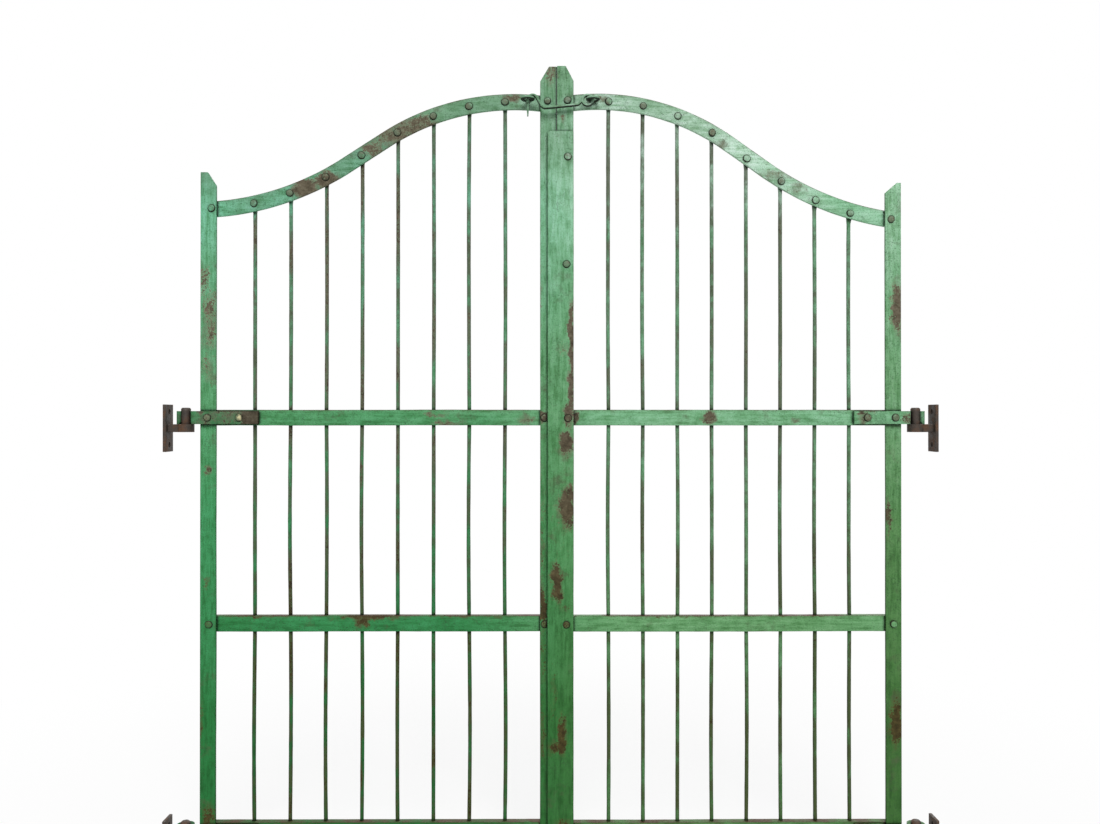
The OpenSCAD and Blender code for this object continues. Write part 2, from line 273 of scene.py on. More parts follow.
# Worn spots, as (across, up, half width, half height, depth): 1 is bare rust, 0.5 thin paint
UPRIGHT_SPOTS = (
    (0.098, 1.420, 0.020, 0.062, 0.70), (0.111, 1.325, 0.028, 0.115, 0.74),
    (0.094, 1.282, 0.010, 0.048, 0.60), (0.110, 1.205, 0.024, 0.070, 0.56),
    (0.109, 0.943, 0.013, 0.019, 0.8), (0.105, 0.656, 0.011, 0.024, 0.6),
    (0.091, 0.318, 0.010, 0.080, 0.6), (0.112, 0.060, 0.020, 0.050, 0.9),
    (0.958, 1.078, 0.013, 0.022, 0.9), (0.957, 0.600, 0.014, 0.066, 1.1),
    (0.952, 1.402, 0.008, 0.127, 0.5), (0.956, 0.280, 0.010, 0.096, 0.6),
    (0.977, 1.955, 0.022, 0.042, 0.72), (0.984, 0.382, 0.010, 0.096, 0.5),
    (1.011, 1.836, 0.011, 0.022, 0.6), (1.030, 1.300, 0.013, 0.090, 1.1),
    (1.032, 1.230, 0.012, 0.070, 1.0), (1.029, 1.143, 0.013, 0.084, 1.0),
    (1.006, 1.249, 0.021, 0.038, 0.45), (1.026, 1.084, 0.020, 0.046, 1.05),
    (1.016, 1.010, 0.023, 0.042, 1.12), (1.019, 0.846, 0.027, 0.074, 1.12),
    (0.994, 0.656, 0.018, 0.066, 1.15), (1.012, 0.596, 0.032, 0.019, 0.4),
    (1.006, 0.271, 0.016, 0.066, 1.2), (0.985, 0.242, 0.021, 0.022, 0.85),
    (1.860, 1.358, 0.022, 0.085, 1.0), (1.836, 0.822, 0.006, 0.072, 0.8),
    (1.856, 0.302, 0.023, 0.078, 1.08), (1.010, 0.030, 0.030, 0.040, 0.9),
    (1.000, 0.780, 0.036, 0.300, 0.26), (0.956, 0.620, 0.013, 0.440, 0.46),
)
RAIL_SPOTS = (
    (0.350, 1.659, 0.038, 0.034, 1.15), (0.362, 1.675, 0.041, 0.016, 0.7),
    (0.406, 1.684, 0.036, 0.032, 1.05), (0.429, 1.678, 0.030, 0.013, 0.9),
    (0.527, 1.762, 0.038, 0.029, 0.75), (0.600, 1.803, 0.125, 0.050, 0.74),
    (0.645, 1.827, 0.062, 0.026, 0.85), (0.641, 1.803, 0.043, 0.016, 0.45),
    (0.881, 1.892, 0.030, 0.010, 0.8), (1.094, 1.891, 0.035, 0.011, 0.7),
    (1.041, 1.076, 0.011, 0.025, 1.0), (1.384, 1.076, 0.025, 0.022, 0.9),
    (0.680, 1.083, 0.045, 0.010, 0.6), (0.711, 1.063, 0.051, 0.010, 0.7),
    (0.919, 1.071, 0.040, 0.019, 0.55), (0.520, 0.570, 0.100, 0.012, 0.9),
    (0.499, 0.556, 0.022, 0.018, 0.9), (0.434, 0.563, 0.024, 0.010, 0.5),
    (1.556, 1.698, 0.072, 0.019, 0.5), (1.595, 1.662, 0.056, 0.025, 0.45),
    (1.417, 1.772, 0.022, 0.016, 0.5), (1.282, 0.571, 0.096, 0.006, 0.6),
    (0.243, 0.572, 0.120, 0.008, 0.6), (0.785, 0.575, 0.207, 0.008, 0.6),
    (1.588, 0.576, 0.287, 0.006, 0.55), (1.601, 1.066, 0.016, 0.010, 0.5),
    (0.340, 0.030, 0.080, 0.018, 0.8), (1.420, 0.024, 0.070, 0.018, 0.8),
)
STRAP_SPOTS = (
    (0.218, 1.079, 0.040, 0.034, 1.25), (0.165, 1.096, 0.045, 0.010, 0.9),
    (0.088, 1.096, 0.014, 0.010, 0.8), (0.150, 1.076, 0.110, 0.030, 0.46),
    (1.768, 1.077, 0.018, 0.030, 0.75), (1.792, 1.094, 0.013, 0.010, 0.5),
    (1.890, 1.076, 0.030, 0.025, 0.65), (0.218, 0.028, 0.040, 0.034, 1.25),
    (1.768, 0.027, 0.030, 0.030, 0.8),
)
RIVET_SPOTS = (
    (0.990, 1.070, 0.090, 0.060, 0.85), (0.990, 0.560, 0.090, 0.060, 0.80),
    (0.990, 0.030, 0.090, 0.060, 0.80), (0.635, 1.815, 0.070, 0.050, 0.95),
    (0.410, 1.685, 0.030, 0.030, 0.90), (1.790, 1.076, 0.030, 0.030, 0.70),
)
# Places where a rivet is rubbed to bright iron
RIVET_POLISHED = ((0.186, 1.078, 0.009, 0.008, 0.8),)

# Colours of the paint from the foot of the gate to its tips, on the left and on the right; they grow
# lighter towards the top, partly painted light falling from above
LEFT_GREEN = (
    (0.00, tint(26, 98, 44)), (0.16, tint(32, 108, 52)), (0.40, tint(58, 139, 85)),
    (0.55, tint(82, 148, 98)), (0.68, tint(98, 163, 120)), (0.80, tint(112, 182, 145)),
    (0.89, tint(98, 144, 112)), (0.98, tint(114, 158, 122)),
)
RIGHT_GREEN = (
    (0.00, tint(76, 122, 68)), (0.16, tint(90, 142, 90)), (0.32, tint(100, 153, 102)),
    (0.55, tint(118, 174, 131)), (0.76, tint(126, 184, 142)), (0.89, tint(182, 216, 192)),
    (0.98, tint(112, 158, 120)),
)
RIGHT_UPRIGHT_GREEN = (
    (0.00, tint(50, 92, 40)), (0.16, tint(56, 100, 46)), (0.40, tint(80, 127, 74)),
    (0.58, tint(103, 152, 106)), (0.70, tint(112, 164, 120)), (0.84, tint(150, 197, 161)),
    (0.98, tint(112, 158, 120)),
)
# Height of the top of those colours, and where the left turns into the right
GREEN_TOP = 2.0
LEFT_TO_RIGHT = (0.70, 1.26)
# Heights between which wear and rust go over to darker colours at the foot, partly painted shade, and
# rust to a lighter colour at the top, painted light
FOOT_ZONE = (1.15, 0.50)
TOP_ZONE = (1.1, 1.4)
# Colours of wear and dirt, colours of painted shade, and colours that paint or rust is multiplied by
CHALKED = (1.38, 1.20, 1.36, 1.0)
SCRUBBED = (0.56, 0.66, 0.54, 1.0)
GRIT = tint(40, 66, 42)
THIN_PAINT = tint(98, 100, 82)
THIN_PAINT_FOOT = tint(70, 76, 44)
GRIME = tint(70, 84, 58)
CRACK = tint(44, 62, 42)
UNDERCOAT = tint(158, 162, 130)
UNDERCOAT_FOOT = tint(90, 104, 54)
RUST = (
    (0.28, tint(51, 46, 36)), (0.46, tint(80, 72, 58)),
    (0.60, tint(98, 90, 75)), (0.78, tint(126, 118, 101)),
)
# Rust multiplied darker at the foot, partly painted shade, and lighter at the top, painted light
RUST_FOOT = (0.50, 0.47, 0.20, 1.0)
RUST_TOP = (1.22, 1.26, 1.24, 1.0)
# Dark outline along every edge, painted shade of the sides
EDGE_SHADE = (0.30, 0.32, 0.25, 1.0)
# Painted shade in corners and between parts
CORNER_SHADE = tint(34, 40, 26)
LEDGE_DIRT = tint(72, 56, 40)
# Painted shade on undersides
UNDERSIDE_SHADE = tint(24, 28, 18)
# Rivet heads darker towards their rims
RIM_DARKENING = tint(40, 42, 30)
BRIGHT_IRON = tint(214, 206, 160)
# Radius of a rubbed edge, reach of the painted shade in corners, and height of the paint's relief
RUBBED_R = 0.0030
CORNER_REACH = 0.009
PAINT_RELIEF = 0.0016


def worn_paint(
    name, grain, spots, rust_at=0.96, shade=1.0, shift=0.0, weathered=0.0, run=None, thinned=0.0,
    right_stops=RIGHT_GREEN, haze=0.85, rim=None, under=0.0, ledge=0.0, polished=(),
):
    """Green brush paint, chalky in scuffs and paler towards the top, partly as painted light, worn thin,
    and chipped to rust along the grain.
    """
    made, tree = blank_material(name)
    where = add(tree, "ShaderNodeTexCoord").outputs["Object"]
    apart = add(tree, "ShaderNodeSeparateXYZ", {"Vector": where}).outputs
    low = spread(tree, apart["Z"], *FOOT_ZONE)
    high = spread(tree, apart["Z"], *TOP_ZONE)
    shifted = (shift, shift * 0.7, shift * 1.3)

    # Green by height, from the left to the right: the lighter top and darker foot are partly painted
    # light and shade
    cloud = speckle(tree, where, scale=5.0, detail=4.0, rough=0.6, shift=shifted)
    cloud = spread(tree, cloud, 0.2, 0.8, -0.08, 0.08)
    height = sum_of(tree, spread(tree, apart["Z"], 0.0, GREEN_TOP), cloud)
    to_right = spread(tree, apart["X"], *LEFT_TO_RIGHT, smooth=True)
    paint = blend(tree, to_right, ramp(tree, height, LEFT_GREEN), ramp(tree, height, right_stops))

    # Brush marks, scuffs and grit
    brushed = speckle(tree, where, scale=1.0, detail=6.0, rough=0.62, stretch=grain, shift=shifted)
    patch = speckle(tree, where, scale=34.0, detail=9.0, rough=0.72, shift=shifted)
    scuffs = weighed(tree, (brushed, 0.56), (patch, 0.44))
    paint = blend(tree, spread(tree, scuffs, 0.50, 0.61), paint, CHALKED, "MULTIPLY")
    paint = blend(tree, spread(tree, scuffs, 0.50, 0.40), paint, SCRUBBED, "MULTIPLY")
    fine = speckle(tree, where, scale=330.0, detail=3.0, rough=0.62)
    paint = blend(tree, spread(tree, fine, 0.30, 0.46, 0.75, 0.0), paint, GRIT)

    # Paint worn thin in spots, by the weather and under stains
    torn = ragged(tree, where, scale=40.0, reach=0.045)
    wear = deepest(tree, torn, spots)
    if weathered:
        bout = speckle(tree, where, scale=1.0, detail=4.0, rough=0.6, stretch=run, shift=shifted)
        bout = spread(tree, bout, 0.46, 0.60, 0.0, weathered, smooth=True)
        wear = sum_of(tree, wear, bout, "MAXIMUM")
    stain = speckle(tree, where, scale=18.0, detail=8.0, rough=0.70, shift=(shift + 2.0, 1.0, shift))
    thin = sum_of(tree, wear, spread(tree, stain, 0.40, 0.72, thinned - 0.25, thinned + 0.45))
    # Thin paint darker at the foot, partly painted shade
    dull = blend(tree, low, THIN_PAINT, THIN_PAINT_FOOT)
    paint = blend(tree, spread(tree, thin, 0.12, 0.75, 0.0, haze, smooth=True), paint, dull)
    paint = blend(tree, spread(tree, stain, 0.56, 0.72, 0.0, 0.6), paint, GRIME)

    # Fine cracks where the coat is old
    cells = add(
        tree, "ShaderNodeTexVoronoi",
        {"Vector": ragged(tree, where, scale=60.0, reach=0.02), "Scale": 75.0},
        feature="DISTANCE_TO_EDGE",
    ).outputs["Distance"]
    aged = speckle(tree, where, scale=14.0, detail=5.0, rough=0.6, shift=(shift, 4.0, shift))
    old_coat = spread(tree, aged, 0.53, 0.64, 0.0, 0.36)
    paint = blend(tree, sum_of(tree, spread(tree, cells, 0.07, 0.02), old_coat, "MULTIPLY"), paint, CRACK)

    # Rust, most of it in worn spots and on rubbed edges, with undercoat round it
    edge = add(tree, "ShaderNodeBevel", {"Radius": RUBBED_R}, samples=4).outputs["Normal"]
    flat = add(tree, "ShaderNodeNewGeometry").outputs["Normal"]
    bend = add(tree, "ShaderNodeVectorMath", {0: edge, 1: flat}, operation="DOT_PRODUCT")
    # Edges, where the paint wears to rust and where painted shade darkens them
    worn_and_shaded_edge = spread(tree, bend.outputs["Value"], 0.99, 0.84)
    drawn_out = [(step / max(grain)) ** 0.35 for step in grain]
    chips = speckle(tree, where, scale=46.0, detail=9.0, rough=0.74, stretch=drawn_out, shift=shifted)
    pits = speckle(tree, where, scale=210.0, detail=4.0, rough=0.66, shift=shifted)
    bare = weighed(tree, (chips, 0.75), (pits, 0.65), (wear, 0.42), (worn_and_shaded_edge, 0.12))
    rust = spread(tree, bare, rust_at - 0.015, rust_at + 0.075, smooth=True)
    undercoat = spread(tree, bare, rust_at - 0.05, rust_at - 0.005, 0.0, 0.28, smooth=True)
    # Undercoat darker at the foot, partly painted shade
    paint = blend(tree, undercoat, paint, blend(tree, low, UNDERCOAT, UNDERCOAT_FOOT))
    rust_cloud = speckle(tree, where, scale=80.0, detail=6.0, rough=0.68, shift=shifted)
    # Rust darker towards the foot, partly painted shade, and lighter towards the top, painted light
    rust_colour = blend(tree, low, ramp(tree, rust_cloud, RUST), RUST_FOOT, "MULTIPLY")
    rust_colour = blend(tree, high, rust_colour, RUST_TOP, "MULTIPLY")
    colour = blend(tree, rust, paint, rust_colour)

    # Painted shade: a dark outline along every edge, darker corners and gaps, and darker undersides; dirt
    # on ledges; rivet heads darker towards their rims
    colour = blend(tree, sum_of(tree, worn_and_shaded_edge, 0.85, "MULTIPLY"), colour, EDGE_SHADE, "MULTIPLY")
    # Painted shade in corners and gaps, where less light reaches
    corner = add(tree, "ShaderNodeAmbientOcclusion", {"Distance": CORNER_REACH}, samples=8).outputs["AO"]
    colour = blend(tree, spread(tree, corner, 0.93, 0.58, 0.0, 0.97), colour, CORNER_SHADE, "MULTIPLY")
    if ledge:
        tilt = add(tree, "ShaderNodeSeparateXYZ", {"Vector": edge}).outputs["Z"]
        lying = spread(tree, aged, 0.38, 0.56, 0.25, ledge)
        dirt_and_shade = sum_of(tree, spread(tree, tilt, 0.08, 0.36), lying, "MULTIPLY")
        colour = blend(tree, dirt_and_shade, colour, LEDGE_DIRT)
    # Painted shade on faces turned downward
    if under:
        tilt = add(tree, "ShaderNodeSeparateXYZ", {"Vector": flat}).outputs["Z"]
        dirt_and_shade = spread(tree, tilt, -0.08, -0.48, 0.0, under, smooth=True)
        colour = blend(tree, dirt_and_shade, colour, UNDERSIDE_SHADE)
    # Rivet heads darker towards their rims
    if rim:
        out = add(tree, "ShaderNodeAttribute", attribute_name=rim).outputs["Fac"]
        colour = blend(tree, spread(tree, out, 0.70, 0.90, smooth=True), colour, RIM_DARKENING)
    if polished:
        colour = blend(tree, deepest(tree, torn, polished), colour, BRIGHT_IRON)
    if shade != 1.0:
        colour = blend(tree, 1.0, colour, (shade, shade, shade, 1.0), "MULTIPLY")

    # Rust is rougher than paint and lies lower
    rough = spread(tree, patch, 0.3, 0.7, 0.52, 0.66)
    rough = sum_of(tree, rough, sum_of(tree, rust, 0.22, "MULTIPLY"))
    swell = weighed(tree, (brushed, 0.35), (patch, 0.5), (fine, 0.10), (rust, -0.35))
    relief = add(tree, "ShaderNodeBump", {"Strength": 0.6, "Distance": PAINT_RELIEF, "Height": swell})
    shader = add(tree, "ShaderNodeBsdfPrincipled", {
        "Base Color": colour, "Roughness": rough,
        "Normal": relief.outputs["Normal"], "Specular IOR Level": 0.16,
    })
    add(tree, "ShaderNodeOutputMaterial", {"Surface": shader.outputs["BSDF"]})
    return made


# Colours of unpainted iron
SCALE = (
    (0.30, tint(48, 42, 38)), (0.48, tint(70, 60, 52)),
    (0.62, tint(98, 70, 50)), (0.78, tint(122, 88, 60)),
)
SCALE_PIT = tint(34, 30, 28)
SCALE_CORNER_SHADE = tint(40, 34, 28)
SCALE_CORNER_REACH = 0.016
SCALE_RELIEF = 0.0014


def bare_iron(name):
    """Unpainted wall iron: dark scale with rust in patches and pits, and painted shade in its corners."""
    made, tree = blank_material(name)
    where = add(tree, "ShaderNodeTexCoord").outputs["Object"]
    scale = speckle(tree, where, scale=40.0, detail=6.0, rough=0.65)
    fine = speckle(tree, where, scale=300.0, detail=3.0, rough=0.6)
    colour = blend(tree, spread(tree, fine, 0.4, 0.7, 0.35, 0.0), ramp(tree, scale, SCALE), SCALE_PIT)
    # Painted shade in corners
    corner = add(
        tree, "ShaderNodeAmbientOcclusion", {"Distance": SCALE_CORNER_REACH}, samples=6,
    ).outputs["AO"]
    colour = blend(tree, spread(tree, corner, 0.75, 0.15, 0.0, 0.85), colour, SCALE_CORNER_SHADE, "MULTIPLY")
    swell = sum_of(tree, scale, sum_of(tree, fine, 0.25, "MULTIPLY"))
    relief = add(tree, "ShaderNodeBump", {"Strength": 0.7, "Distance": SCALE_RELIEF, "Height": swell})
    shader = add(tree, "ShaderNodeBsdfPrincipled", {
        "Base Color": colour, "Roughness": spread(tree, scale, 0.35, 0.65, 0.5, 0.85),
        "Metallic": 0.35, "Normal": relief.outputs["Normal"],
    })
    add(tree, "ShaderNodeOutputMaterial", {"Surface": shader.outputs["BSDF"]})
    return made


# Brush marks along each kind of piece, and the run of bare stretches on the bars
UPRIGHT_GRAIN = (150, 150, 16)
RAIL_GRAIN = (16, 150, 150)
STRAP_GRAIN = (24, 120, 120)
BAR_GRAIN = (120, 120, 14)
RIVET_GRAIN = (90, 90, 90)
HOOK_GRAIN = (30, 90, 90)
BAR_RUN = (22, 22, 6)

upright_paint = worn_paint(
    "upright_paint", UPRIGHT_GRAIN, UPRIGHT_SPOTS, right_stops=RIGHT_UPRIGHT_GREEN, haze=0.5,
)
rail_paint = worn_paint("rail_paint", RAIL_GRAIN, RAIL_SPOTS, shift=3.1, ledge=1.0)
strap_paints = {
    side: worn_paint(
        f"{side}_strap_paint", STRAP_GRAIN, STRAP_SPOTS, rust_at=0.94, shade=shade, shift=shift,
    )
    for side, shade, shift in (("left", 0.74, 5.7), ("right", 0.92, 6.9))
}
bar_paints = {
    side: worn_paint(
        f"{side}_bar_paint", BAR_GRAIN, (), rust_at=0.94, shade=shade, shift=9.3,
        weathered=weathered, run=BAR_RUN, thinned=0.42,
    )
    for side, shade, weathered in (("left", 0.77, 0.66), ("right", 0.74, 0.44))
}
rivet_paint = worn_paint(
    "rivet_paint", RIVET_GRAIN, RIVET_SPOTS, rust_at=0.98, shift=12.9, weathered=0.5,
    run=(16, 16, 16), thinned=0.36, rim="rim", polished=RIVET_POLISHED,
)
# The hook and its rings are darkened on their undersides, as painted shade
hook_paint = worn_paint(
    "hook_paint", HOOK_GRAIN, (), rust_at=0.98, shade=0.92, shift=15.1, weathered=0.3,
    run=(30, 30, 30), under=0.96,
)
wall_iron = bare_iron("wall_iron")


# Shapes

def waver(place):
    """The slow drift of hand-forged iron, the same for all pieces at a place: joints stay closed."""
    return noise.noise_vector(place * DRIFT_SCALE + Vector((7.0, 3.0, 1.0))) * DRIFT


def finish_piece(shape, name, body, material, slot, *nodes, smooth=32):
    """Makes the mesh an object that rides on its body and stands for its nodes."""
    mesh = bpy.data.meshes.new(name)
    shape.to_mesh(mesh)
    shape.free()
    mesh.shade_smooth()
    mesh.set_sharp_from_angle(angle=math.radians(smooth))
    mesh.materials.append(material)
    piece = bpy.data.objects.new(name, mesh)
    scene.collection.objects.link(piece)
    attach(piece, body)
    if nodes:
        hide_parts(*nodes)
    return piece


def merged_copy(node):
    """A copy of a node's mesh, its loose triangles joined and its flat facets dissolved."""
    shape = bmesh.new()
    shape.from_mesh(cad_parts[node].data)
    bmesh.ops.remove_doubles(shape, verts=shape.verts, dist=MERGED)
    bmesh.ops.dissolve_limit(shape, angle_limit=FLAT, verts=shape.verts, edges=shape.edges)
    return shape


def round_off(shape, lines, radius, steps, fullness):
    """Rounds edges of a mesh."""
    bmesh.ops.bevel(
        shape, geom=lines, offset=radius, segments=steps, profile=fullness,
        affect="EDGES", clamp_overlap=True,
    )


def forged_copy(
    node, body, material, edge=0.0011, dent=0.0003, shortest=0.006, slot="green_paint", swell=0.0,
):
    """A node with its edges rubbed round and the slight unevenness that a hammer leaves."""
    shape = merged_copy(node)
    centre = mid(node).x
    for point in shape.verts:
        if (point.co.x - centre) * swell > 0:
            point.co.x += swell
    crisp = [
        line for line in shape.edges
        if line.is_manifold and line.calc_face_angle() > CRISP and line.calc_length() > shortest
    ]
    round_off(shape, crisp, edge, steps=2, fullness=0.6)
    low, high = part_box(node)
    size = high - low
    along = max(range(3), key=lambda i: size[i])
    straight = Vector([1.0 if i == along else 0.0 for i in range(3)])
    count = int(size[along] / FORGED_STATION)
    for step in range(1, count):
        everything = shape.verts[:] + shape.edges[:] + shape.faces[:]
        at = low + straight * (size[along] * step / count)
        bmesh.ops.bisect_plane(shape, geom=everything, dist=MERGED, plane_co=at, plane_no=straight)
    seed = Vector((len(node) * 1.7, sum(map(ord, node)) * 0.31, 0.0))
    for point in shape.verts:
        off_pin = min(abs(point.co.x - x) for x in PIN_X)
        loose = min(max((off_pin - TRUE_TO) / TRUE_FADE, 0.0), 1.0)
        dents = noise.noise_vector(point.co * DENT_SCALE + seed) * dent
        point.co += (waver(point.co) + dents) * loose
    return finish_piece(shape, "forged_" + node, body, material, slot, node)


def forged_bar(node, body, material, levels, rng):
    """A round bar that bows a little between the rails, beaten flat at the top where it is riveted."""
    low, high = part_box(node)
    x = (low.x + high.x) / 2
    front = low.y
    flat_from = bar_rivet_z(node) - TONGUE_UNDER_RIVET
    round_to = flat_from - FLARE_L
    stops = [low.z] + list(levels) + [round_to]
    bows = [tuple(rng.uniform(-most, most) for most in BAR_BOW) for _ in stops]
    seed = Vector((x * 11.0, 0.0, 4.0))

    def bowed(z):
        """How far the bar is off its straight line at a height."""
        for under, over, (to_side, to_front) in zip(stops, stops[1:], bows):
            if under <= z <= over:
                swing = math.sin(math.pi * (z - under) / (over - under))
                return to_side * swing, to_front * swing
        return 0.0, 0.0

    rings = []
    steps = int((round_to - low.z) / BAR_STATION)
    for step in range(steps + 1):
        z = low.z + (round_to - low.z) * step / steps
        off_x, off_y = bowed(z)
        uneven = noise.noise(Vector((0.0, 0.0, z * BAR_UNEVEN_SCALE)) + seed)
        r = BAR_D / 2 * (1.0 + BAR_UNEVEN * uneven)
        rings.append((z, x + off_x, front + BAR_D / 2 + off_y, r, r, ROUND))
    for step in range(1, END_STEPS + 1):
        part = step / END_STEPS
        ease = part * part * (3 - 2 * part)
        half_w = BAR_D / 2 + (TONGUE_W - BAR_D) / 2 * ease
        half_t = BAR_D / 2 + (TONGUE_T - BAR_D) / 2 * ease
        square = ROUND + (FLATTENED - ROUND) * ease
        rings.append((round_to + FLARE_L * part, x, front + half_t, half_w, half_t, square))
    dome_from = high.z - TONGUE_W / 2
    for step in range(END_STEPS + 1):
        turn = math.pi / 2 * step / END_STEPS
        z = dome_from + TONGUE_W / 2 * math.sin(turn)
        half_w = max(TONGUE_W / 2 * math.cos(turn), TONGUE_TIP)
        rings.append((z, x, front + TONGUE_T / 2, half_w, TONGUE_T / 2, FLATTENED))

    shape = bmesh.new()
    loops = []
    for z, mid_x, mid_y, half_w, half_t, square in rings:
        loop = []
        for corner in range(BAR_CORNERS):
            turn = 2 * math.pi * corner / BAR_CORNERS
            c, s = math.cos(turn), math.sin(turn)
            px = mid_x + half_w * math.copysign(abs(c) ** (2 / square), c)
            py = mid_y + half_t * math.copysign(abs(s) ** (2 / square), s)
            drift = waver(Vector((x, front, z)))
            loop.append(shape.verts.new(Vector((px, py, z)) + drift))
        loops.append(loop)
    for under, over in zip(loops, loops[1:]):
        for corner in range(BAR_CORNERS):
            after = (corner + 1) % BAR_CORNERS
            shape.faces.new((under[corner], under[after], over[after], over[corner]))
    shape.faces.new(list(reversed(loops[0])))
    shape.faces.new(loops[-1])
    return finish_piece(shape, "forged_" + node, body, material, "green_paint", node, smooth=50)


def rounded_copy(node, body, material):
    """A bent rod or ring with its facets smoothed and the edge of its riveted end rounded."""
    shape = merged_copy(node)
    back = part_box(node)[1].y
    rim = [
        line for line in shape.edges
        if all(abs(point.co.y - back) < MERGED for point in line.verts)
        and line.calc_face_angle() > CRISP
    ]
    round_off(shape, rim, RIM_R, steps=3, fullness=0.5)
    return finish_piece(shape, "forged_" + node, body, material, "green_paint", node, smooth=40)


rng = random.Random(BAR_SEED)
for side in SIDES:
    leaf = side + "_leaf"
    levels = [mid(f"{side}_{name}_rail").z for name in STRAIGHT_RAILS]
    forged_copy(f"{side}_hinge_stile", leaf, upright_paint)
    forged_copy(
        f"{side}_meeting_stile", leaf, upright_paint,
        edge=0.0020, dent=0.0, swell=MEETING_SWELL[side],
    )
    forged_copy(f"{side}_top_rail", leaf, rail_paint)
    for name in STRAIGHT_RAILS:
        forged_copy(f"{side}_{name}_rail", leaf, rail_paint)
    for i in BARS:
        forged_bar(f"{side}_bar_{i}", leaf, bar_paints[side], levels, rng)
    for name in STRAP_LEVELS:
        forged_copy(
            f"{side}_{name}_hinge_strap", leaf, strap_paints[side],
            edge=0.0016, shortest=0.0012, dent=0.0004,
        )
        forged_copy(
            f"{side}_{name}_pintle", "wall_pintles", wall_iron,
            edge=0.0012, shortest=0.005, slot="bare_iron",
        )
    rounded_copy(f"{side}_hook_eye", leaf, hook_paint)
forged_copy("cover_strip", "right_leaf", upright_paint, edge=0.0014)
rounded_copy("gate_hook", "hook", hook_paint)


# Rivets

def rivet_tree():
    """Lays a low round head, a little uneven, on each point."""
    tree = bpy.data.node_groups.new("rivet_heads", "GeometryNodeTree")
    tree.interface.new_socket("Places", in_out="INPUT", socket_type="NodeSocketGeometry")
    for name in ("Radius", "Height"):
        tree.interface.new_socket(name, in_out="INPUT", socket_type="NodeSocketFloat")
    tree.interface.new_socket("Seed", in_out="INPUT", socket_type="NodeSocketInt")
    tree.interface.new_socket("Finish", in_out="INPUT", socket_type="NodeSocketMaterial")
    tree.interface.new_socket("Heads", in_out="OUTPUT", socket_type="NodeSocketGeometry")
    taken = add(tree, "NodeGroupInput").outputs
    ball = add(tree, "GeometryNodeMeshUVSphere", {"Segments": 14, "Rings": 8, "Radius": 1.0})
    squat = add(
        tree, "ShaderNodeCombineXYZ",
        {"X": taken["Radius"], "Y": taken["Height"], "Z": taken["Radius"]},
    )
    turned = add(
        tree, "GeometryNodeTransform",
        {"Geometry": ball.outputs["Mesh"], "Rotation": (math.pi / 2, 0.0, 0.0)},
    )
    head = add(
        tree, "GeometryNodeTransform",
        {"Geometry": turned.outputs["Geometry"], "Scale": squat.outputs["Vector"]},
    )
    smooth = add(tree, "GeometryNodeSetShadeSmooth", {"Geometry": head.outputs["Geometry"]})
    place = add(tree, "GeometryNodeInputPosition").outputs["Position"]
    apart = add(tree, "ShaderNodeSeparateXYZ", {"Vector": place}).outputs
    wide = add(tree, "ShaderNodeCombineXYZ", {"X": apart["X"], "Z": apart["Z"]}).outputs["Vector"]
    off = add(tree, "ShaderNodeVectorMath", {0: wide}, operation="LENGTH").outputs["Value"]
    rim = add(
        tree, "GeometryNodeStoreNamedAttribute",
        {
            "Geometry": smooth.outputs["Geometry"], "Name": "rim",
            "Value": sum_of(tree, off, taken["Radius"], "DIVIDE"),
        },
        domain="POINT", data_type="FLOAT",
    )
    lean = add(
        tree, "FunctionNodeRandomValue",
        {0: (-0.10, -3.1, -0.10), 1: (0.10, 3.1, 0.10), "Seed": taken["Seed"]},
        data_type="FLOAT_VECTOR",
    )
    grow = add(
        tree, "FunctionNodeRandomValue",
        {0: (0.90, 0.75, 0.90), 1: (1.08, 1.10, 1.08), "Seed": taken["Seed"]},
        data_type="FLOAT_VECTOR",
    )
    set_on = add(
        tree, "GeometryNodeInstanceOnPoints",
        {
            "Points": taken["Places"], "Instance": rim.outputs["Geometry"],
            "Rotation": lean.outputs["Value"], "Scale": grow.outputs["Value"],
        },
    )
    real = add(tree, "GeometryNodeRealizeInstances", {"Geometry": set_on.outputs["Instances"]})
    painted = add(
        tree, "GeometryNodeSetMaterial",
        {"Geometry": real.outputs["Geometry"], "Material": taken["Finish"]},
    )
    add(tree, "NodeGroupOutput", {"Heads": painted.outputs["Geometry"]})
    return tree


rivet_heads = rivet_tree()


def set_rivets(name, body, places, radius, height, seed):
    """One mesh of rivet heads at the places, riding on a leaf."""
    points = bpy.data.meshes.new(name + "_places")
    points.from_pydata(places, [], [])
    maker = bpy.data.objects.new(name + "_maker", points)
    scene.collection.objects.link(maker)
    modifier = maker.modifiers.new("rivets", "NODES")
    modifier.node_group = rivet_heads
    values = {"Radius": radius, "Height": height, "Seed": seed, "Finish": rivet_paint}
    for item in rivet_heads.interface.items_tree:
        if item.in_out == "INPUT" and item.name in values:
            modifier[item.identifier] = values[item.name]
    made = maker.evaluated_get(bpy.context.evaluated_depsgraph_get())
    mesh = bpy.data.meshes.new_from_object(made)
    bpy.data.objects.remove(maker)
    piece = bpy.data.objects.new(name, mesh)
    scene.collection.objects.link(piece)
    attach(piece, body)
    return piece


# Places of rivets across a piece, as a share of its width from the left
TOP_RIVET = {"left": 0.70, "right": 0.36}
LOWER_RIVET = {"left": 0.55, "right": 0.50}
CROWN_RIVET = {"left": 0.47, "right": 0.62}
MEETING_RIVET = 0.28
STRIP_RIVETS = ((0.78, 1.7388), (0.73, 1.4659), (0.79, 1.0758), (0.72, 0.5530), (0.75, 0.0268))
# Places of the strap rivets along the gate
STRAP_RIVETS = {"left": (0.1092, 0.1860), "right": (1.8523, 1.7840)}


def across(node, share):
    """Place along the gate at a share of a node's width from the left."""
    low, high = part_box(node)
    return low.x + (high.x - low.x) * share


